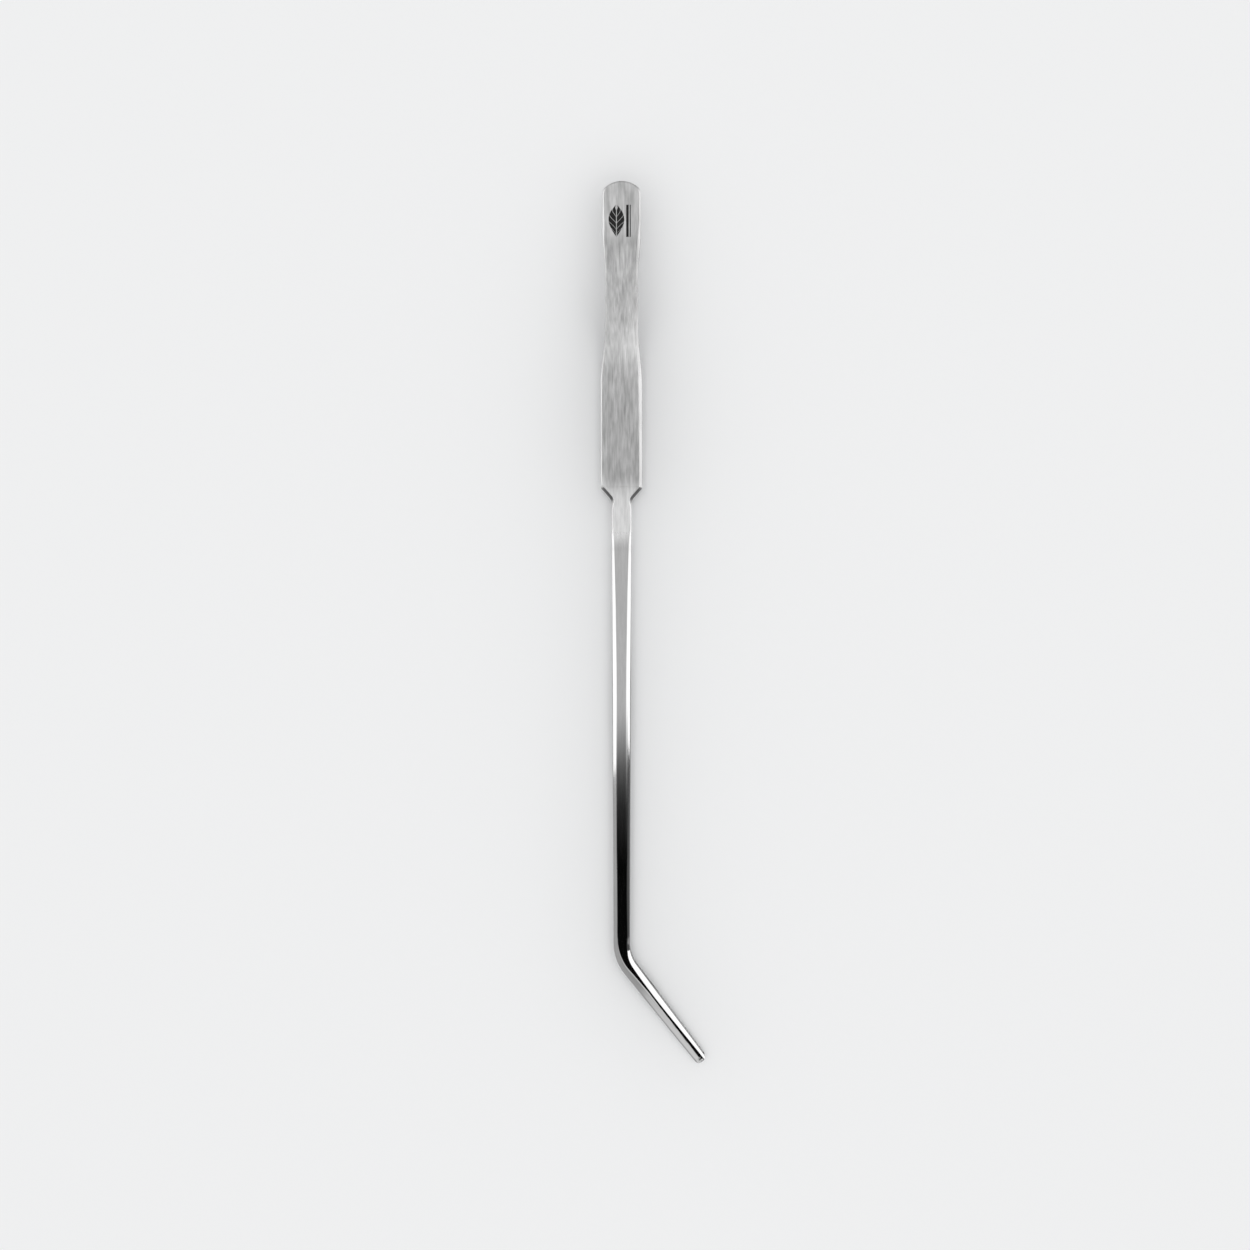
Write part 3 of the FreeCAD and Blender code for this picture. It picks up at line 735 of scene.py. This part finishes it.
# Grey levels: of satin and of fine steel, and the painted sheen that the root of the stem
# adds. Fine steel keeps a share of the tone, and a place under painted shade a share of its
# grey. Satin has painted brighter and darker stretches of reflection along the handle, and
# more painted light on the right of the waist, in stops of (place, level).
SATIN_GREY = 0.33
FINE_GREY = 0.62
ROOT_GREY = 0.36
FINE_SHARE = 0.3
SHADE_SHARE = 0.25
LINE_TONE = 0.055
CLOUD_TONE = 0.055
STREAK_TONE = 0.045
PAINTED_HANDLE_LIGHT = [(16, 0.12), (21, 0.02), (26, 0.02), (30, 0.11), (36, 0.07), (43, 0.05),
                  (47, 0.03), (51, 0.03), (57, 0.12)]
RIGHT_LIGHT = [(30, 0.0), (36, 0.05), (41.5, 0.07), (44.5, 0.16), (49, 0.12), (55, 0.0)]
# A painted highlight on the bevels: strong on the handle, weaker past the grip.
EDGE_LIGHT = (0.2, 0.06)

# Roughness of satin and of fine steel, and what worn edges take from it. The relief of the
# belt's marks fades to a share of itself.
SATIN_ROUGHNESS = (0.28, 0.38)
FINE_ROUGHNESS = (0.05, 0.08)
EDGE_POLISH = 0.02
RELIEF_LEFT = 0.05


def ground_steel():
    """Stainless steel: belt-ground satin on the handle, finer and brighter on stem and tip."""
    steel = Recipe("ground_steel")
    across, along, _ = steel.parts(steel.attribute("grain", "Vector"))
    lines = steel.grain(BELT_LINES, detail=4.0, roughness=0.65)
    streaks = steel.grain(BELT_STREAKS, detail=3.0)
    clouds = steel.grain(CLOUDS, detail=2.0)
    # How worn the edges are, which also carries a painted highlight on the bevels.
    wear_and_highlight = steel.attribute("edge_wear_and_highlight")
    # Painted shade on the shoulders and on the rim along the stem.
    shade_marks = steel.attribute("painted_shade")

    polished = steel.stretch(along, *POLISH_COMES)
    # A painted sheen at the root of the stem.
    root = steel.times(steel.stretch(along, *ROOT_COMES),
                       steel.stretch(along, *ROOT_GOES, 1.0, 0.0))
    tone = steel.total(steel.swing(lines, LINE_TONE), steel.swing(clouds, CLOUD_TONE),
                       steel.swing(streaks, STREAK_TONE))
    # Painted light on the right of the waist, and painted light and shade along the handle.
    from_right = steel.times(steel.stretch(across, *RIGHT_SIDE), steel.curve(along, RIGHT_LIGHT))
    satin = steel.total(tone, steel.curve(along, PAINTED_HANDLE_LIGHT), from_right, SATIN_GREY)
    fine = steel.total(steel.times(tone, FINE_SHARE), FINE_GREY)
    # Painted highlight: the bevels are lighter in colour, most of all on the handle.
    edge_light = steel.times(wear_and_highlight, steel.stretch(along, *EDGE_LIGHT_GOES, *EDGE_LIGHT,
                                                 smooth=False))
    colour = steel.total(steel.blend(polished, satin, fine), steel.times(root, ROOT_GREY),
                         edge_light)
    # Painted shade: the shoulders and the rim keep only a share of their grey.
    colour = steel.times(colour, steel.ramp(shade_marks, 0.0, 1.0, 1.0, SHADE_SHARE))
    steel.link(steel.grey(colour), "Base Color")

    roughness = steel.blend(polished, steel.between(streaks, *SATIN_ROUGHNESS),
                            steel.between(lines, *FINE_ROUGHNESS))
    worn = steel.math("SUBTRACT", roughness, steel.times(wear_and_highlight, EDGE_POLISH))
    steel.link(worn, "Roughness")

    relief = steel.times(steel.total(lines, streaks),
                         steel.stretch(along, *RELIEF_GOES, 1.0, RELIEF_LEFT))
    steel.bump(relief, strength=0.35, distance=0.02)
    steel.shader.inputs["Metallic"].default_value = 1.0
    return steel.material


def black_etch():
    """The oxide of an electro-etched mark: nearly black, matte and faintly mottled."""
    etch = Recipe("black_etch")
    speckle = etch.noise(etch.object_place(), scale=9000.0, detail=3.0)
    etch.link(etch.grey(etch.between(speckle, 0.008, 0.03)), "Base Color")
    etch.link(etch.between(speckle, 0.55, 0.75), "Roughness")
    etch.shader.inputs["Specular IOR Level"].default_value = 0.05
    return etch.material


def weld_metal():
    """Cast, matte weld metal with a coarse skin."""
    weld = Recipe("weld_metal")
    skin = weld.noise(weld.object_place(), scale=2500.0, detail=4.0)
    weld.link(weld.grey(weld.between(skin, 0.28, 0.42)), "Base Color")
    weld.link(weld.between(skin, 0.5, 0.7), "Roughness")
    weld.bump(skin, strength=0.4, distance=0.05)
    weld.shader.inputs["Metallic"].default_value = 1.0
    return weld.material


# ---------------------------------------------------------------- the tweezers

def build_tweezers():
    """Both arms, each with its own spring leaf, and the mark on the front heel."""
    steel = ground_steel()
    arms = {"front": (1, 0.0), "rear": (-1, TOOTH_PITCH / 2)}
    for name, (side, tooth_offset) in arms.items():
        arm = spring_arm(f"{name}_spring_arm", side, tooth_offset)
        arm.data.materials.append(steel)
        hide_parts(f"{name}_heel", f"{name}_arm")
        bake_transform(arm)
    mark = etched_mark()
    mark.data.materials.append(black_etch())
    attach(mark, "heel")
    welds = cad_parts["weld_spots"]
    welds.data.materials.clear()
    welds.data.materials.append(weld_metal())


# ---------------------------------------------------------------- studio

# Cards that shape the steel's reflections: centre, then width and height.
CEILING_CARD = (0, 305, 450), (680, 890)
RIGHT_CARD = (500, 325, 440), (855, 560)
LEFT_CARD = (-500, 320, 440), (860, 560)
TENT_RADIUS = 2000
TENT_SEGMENTS = (48, 24)

# Light of the cards, in stops of (place along Y, strength).
CEILING_LIGHT = [(-136, 0.0), (-116, 0.022), (-104, 0.11), (-84, 0.68), (130, 0.66),
                 (165, 1.5), (240, 1.5), (290, 0.68)]
SIDE_LIGHT = [(240, 1.6), (340, 0.85), (620, 0.5)]

FLOOR_REACH = 6000
FLOOR_COLOUR = (0.86, 0.865, 0.87, 1)
SKY_WHITE = (1, 1, 1, 1)

# The camera: a long lens high above the tool, and the width that it takes in there.
CAMERA_X = 1.0
CAMERA_Y = -55.2
CAMERA_DISTANCE = 3000
VIEW_WIDTH = 371
LENS = 291.1
FARTHEST_SEEN = 50000


def glow(name, paint):
    """A glowing material, whose strength is made by a paint function from a recipe."""
    recipe = Recipe(name)
    recipe.nodes.remove(recipe.shader)
    emission = recipe.node("ShaderNodeEmission", {"Strength": paint(recipe)})
    recipe.links.new(emission.outputs[0], recipe.nodes["Material Output"].inputs["Surface"])
    return recipe.material


def only_in_reflections(name, mesh, paint):
    """A stage object that shows in the steel and nowhere else."""
    mesh.materials.append(glow(name, paint))
    made = bpy.data.objects.new(name, mesh)
    made.visible_camera = False
    made.visible_diffuse = False
    made.visible_shadow = False
    made.visible_transmission = False
    made.visible_volume_scatter = False
    bpy.context.scene.collection.objects.link(made)


def card(name, place, facing, paint):
    """A flat studio card; facing is where its face points.

    Its corners lie half its width and height from its centre, along the two directions
    square to the way it faces.
    """
    centre, (width, height) = place
    toward = Vector(facing)
    across = Vector((1, 0, 0)) if toward.z else Vector((0, 0, 1)).cross(toward)
    up = toward.cross(across)
    corners = [Vector(centre) + across * (a * width) + up * (b * height)
               for a, b in ((-0.5, -0.5), (0.5, -0.5), (0.5, 0.5), (-0.5, 0.5))]
    mesh = bpy.data.meshes.new(name)
    mesh.from_pydata([tuple(corner * MM) for corner in corners], [], [(0, 1, 2, 3)])
    only_in_reflections(name, mesh, paint)


def paint_ceiling(ceiling):
    """Even grey over the handle, fading out over the stem, and brighter towards both sides."""
    x, y, _ = ceiling.parts(ceiling.object_place())
    towards_sides = ceiling.stretch(ceiling.math("ABSOLUTE", x), 60, 170, 1.0, 2.4)
    return ceiling.times(ceiling.curve(y, CEILING_LIGHT), towards_sides)


def paint_side(side):
    """Bright beside the tool, and dimmer towards the back."""
    _, y, _ = side.parts(side.object_place())
    return side.curve(y, SIDE_LIGHT)


def paint_tent(tent):
    """Black overhead and grey lower down, with patches at the left, right and front.

    A direction is given by its slopes, right / up and back / up. Patches are bounded by
    straight lines in those two, and the brightest one counts.
    """
    x, y, z = tent.parts(tent.object_place())
    right = tent.math("DIVIDE", x, z)
    back = tent.math("DIVIDE", y, z)
    reach = tent.math("SQRT", tent.total(tent.times(right, right), tent.times(back, back)))
    overhead = tent.ramp(reach, 0.5, 0.9, 0.002, 0.10, smooth=True)
    lower_down = tent.ramp(reach, 1.3, 2.6, 0.0, 0.35, smooth=True)
    left_patch = tent.ramp(right, -0.85, -0.65, 0.48, 0.0, smooth=True)
    right_patch = tent.ramp(right, 0.7, 1.6, 0.0, 0.20)
    from_ahead = tent.total(back, tent.times(right, 0.146))
    from_left = tent.math("SUBTRACT", back, tent.times(right, 1.11))
    front_patch = tent.times(tent.ramp(from_ahead, -0.205, -0.155, 1.0, 0.0),
                             tent.ramp(from_left, -0.22, -0.14),
                             tent.ramp(right, -0.44, -0.28, 0.45, 0.85))
    right_and_ahead = tent.math("MINIMUM", right, tent.times(back, -1.0))
    end_patch = tent.ramp(right_and_ahead, 0.15, 0.3, 0.0, 0.55)
    light = tent.total(overhead, lower_down)
    for patch in (left_patch, right_patch, front_patch, end_patch):
        light = tent.math("MAXIMUM", light, patch)
    return tent.times(light, tent.stretch(z, 0, 600, 0.5, 1.0))


def dark_tent():
    """A dome behind the cards."""
    around, up = TENT_SEGMENTS
    edit = bmesh.new()
    bmesh.ops.create_uvsphere(edit, u_segments=around, v_segments=up, radius=TENT_RADIUS * MM)
    mesh = bpy.data.meshes.new("dark_tent")
    edit.to_mesh(mesh)
    edit.free()
    only_in_reflections("dark_tent", mesh, paint_tent)


def paper_floor():
    """A wide, pale, dull floor."""
    reach = FLOOR_REACH * MM
    mesh = bpy.data.meshes.new("floor")
    mesh.from_pydata([(-reach, -reach, 0), (reach, -reach, 0), (reach, reach, 0),
                      (-reach, reach, 0)], [], [(0, 1, 2, 3)])
    floor = bpy.data.objects.new("floor", mesh)
    bpy.context.scene.collection.objects.link(floor)
    paper = Recipe("floor_paper")
    paper.shader.inputs["Base Color"].default_value = FLOOR_COLOUR
    paper.shader.inputs["Roughness"].default_value = 0.9
    paper.shader.inputs["Specular IOR Level"].default_value = 0.1
    mesh.materials.append(paper.material)


def build_studio():
    """A pale floor under an even sky, with cards and a dome for the steel to reflect."""
    paper_floor()
    world = bpy.data.worlds.new("sky")
    world.use_nodes = True
    sky = world.node_tree.nodes["Background"]
    sky.inputs["Color"].default_value = SKY_WHITE
    sky.inputs["Strength"].default_value = 1.0
    bpy.context.scene.world = world
    card("ceiling_card", CEILING_CARD, (0, 0, -1), paint_ceiling)
    card("right_card", RIGHT_CARD, (-1, 0, 0), paint_side)
    card("left_card", LEFT_CARD, (1, 0, 0), paint_side)
    dark_tent()


def build_camera():
    """A long lens straight above, with the heel at the top of the picture."""
    camera = bpy.data.objects.new("camera", bpy.data.cameras.new("camera"))
    camera.data.lens = LENS
    camera.data.sensor_width = VIEW_WIDTH / CAMERA_DISTANCE * LENS
    camera.data.clip_end = FARTHEST_SEEN * MM
    camera.location = (CAMERA_X * MM, CAMERA_Y * MM, cad_box[1].z + CAMERA_DISTANCE * MM)
    bpy.context.scene.collection.objects.link(camera)
    bpy.context.scene.camera = camera
    bpy.context.scene.view_settings.view_transform = "Standard"


build_camera()
build_tweezers()
build_studio()
